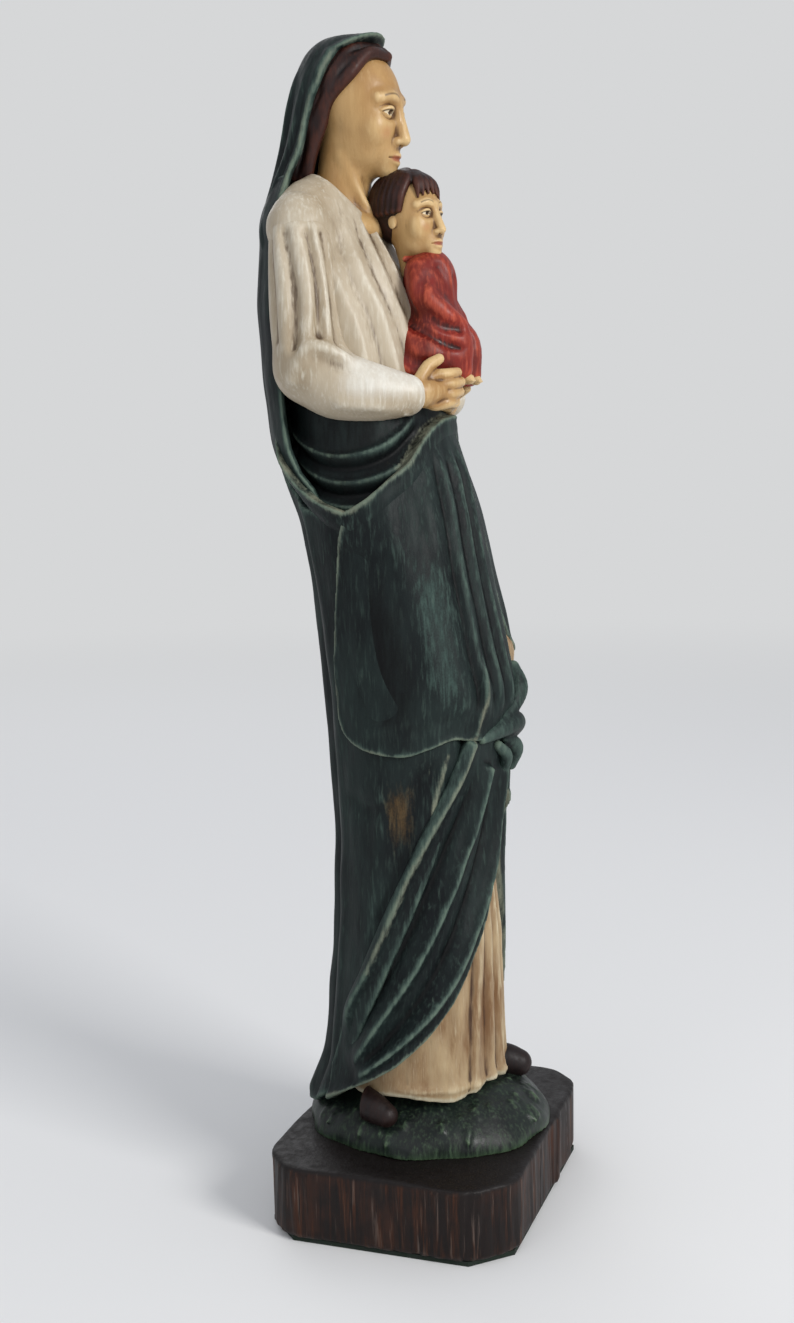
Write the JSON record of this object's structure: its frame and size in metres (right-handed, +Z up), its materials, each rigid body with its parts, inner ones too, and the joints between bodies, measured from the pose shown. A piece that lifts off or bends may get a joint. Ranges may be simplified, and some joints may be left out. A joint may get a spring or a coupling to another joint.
{
  "type": "mother and child statue",
  "caption": "Standing robed mother holding a small child, carved and painted, with a hooded cloak gathered at the hip, on a stained block with cut corners.",
  "frame": {"origin": "middle of the base's underside", "axes": "+Z up the figure, -Y the way the figure faces, -X towards her right side"},
  "size_m": [0.085, 0.0738, 0.3],
  "materials": {
    "stained_wood": "dark stain, hand cut, satin",
    "felt": "matt felt",
    "screw_steel": "bright zinc",
    "mound_paint": "matt paint",
    "dress_paint": "antiqued satin paint",
    "bodice_paint": "antiqued satin paint",
    "shoe_paint": "satin paint",
    "skin_paint": "antiqued satin paint",
    "hair_paint": "satin paint",
    "mantle_paint": "antiqued satin paint",
    "robe_paint": "antiqued satin paint"
  },
  "bodies": {
    "root": {"base_block": "stained_wood", "base_felt": "felt", "base_screws": "screw_steel", "ground_mound": "mound_paint", "under_dress": "dress_paint", "bodice": "bodice_paint", "right_sleeve": "bodice_paint", "left_sleeve": "bodice_paint", "right_shoe": "shoe_paint", "left_shoe": "shoe_paint", "mother_head": "skin_paint", "child_head": "skin_paint", "right_hand": "skin_paint", "left_hand": "skin_paint", "child_feet": "skin_paint", "mother_hair": "hair_paint", "child_hair": "hair_paint", "veil": "mantle_paint", "mantle_cape": "mantle_paint", "mantle_sling": "mantle_paint", "mantle_apron": "mantle_paint", "mantle_swag": "mantle_paint", "mantle_left_fall": "mantle_paint", "mantle_left_wrap": "mantle_paint", "mantle_body": "mantle_paint", "hip_knot": "mantle_paint", "child_robe": "robe_paint"}
  },
  "joints": []
}
